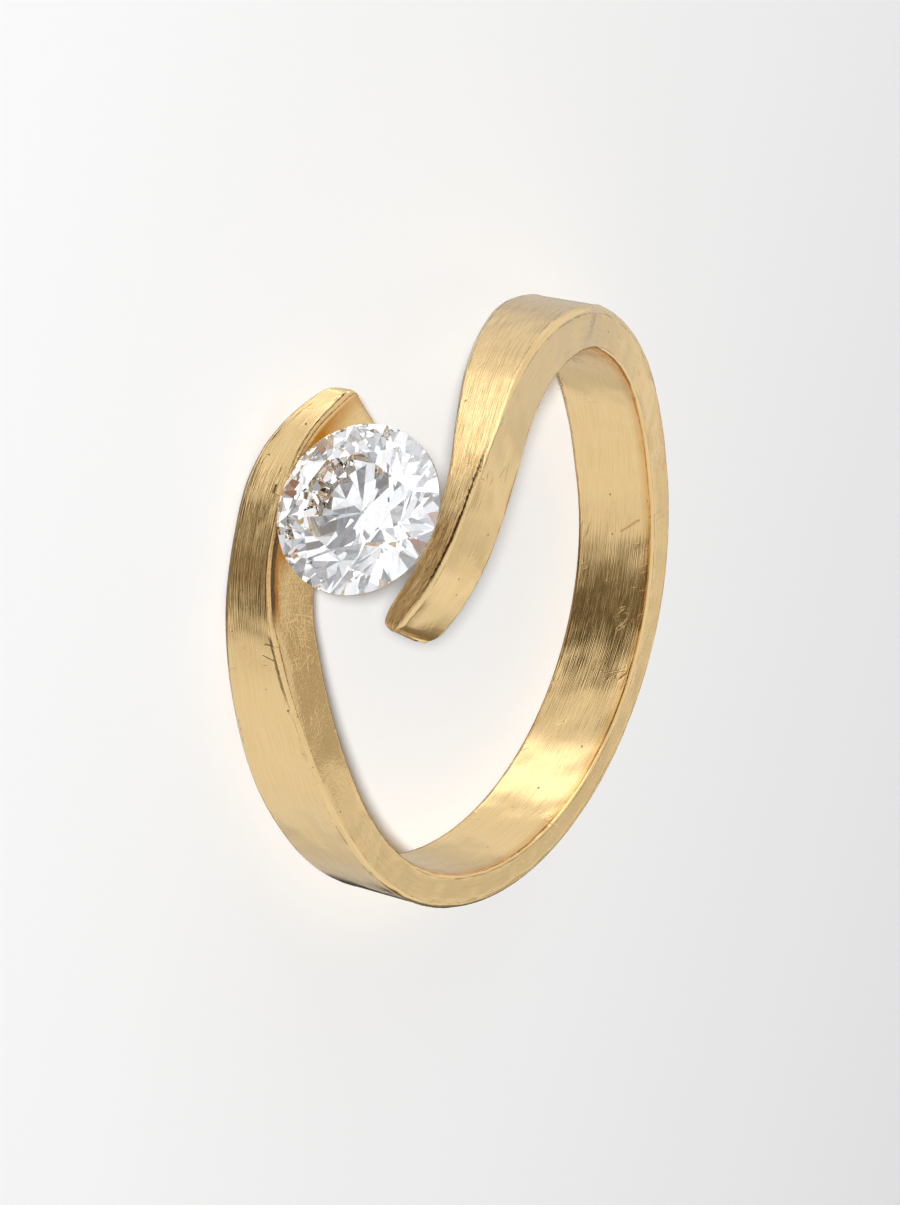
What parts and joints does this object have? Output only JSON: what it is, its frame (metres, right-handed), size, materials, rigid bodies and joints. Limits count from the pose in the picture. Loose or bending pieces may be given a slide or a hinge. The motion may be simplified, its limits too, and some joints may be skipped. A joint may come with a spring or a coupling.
{
  "type": "wrap ring",
  "caption": "Gold wrap ring whose band runs past itself, its two free ends holding a round brilliant stone between them.",
  "frame": {"origin": "centre of the finger hole on the flat side that the ring lies on", "axes": "+Z along the finger hole, away from the flat side; the stone faces -Y; +X to the right, seen with the stone in front"},
  "size_m": [0.0197, 0.0214, 0.0075],
  "materials": {
    "gold": "satin brushed yellow gold with soft polished edges",
    "diamond": "clear, polished facets"
  },
  "bodies": {
    "root": {"band": "gold", "stone": "diamond"}
  },
  "joints": []
}
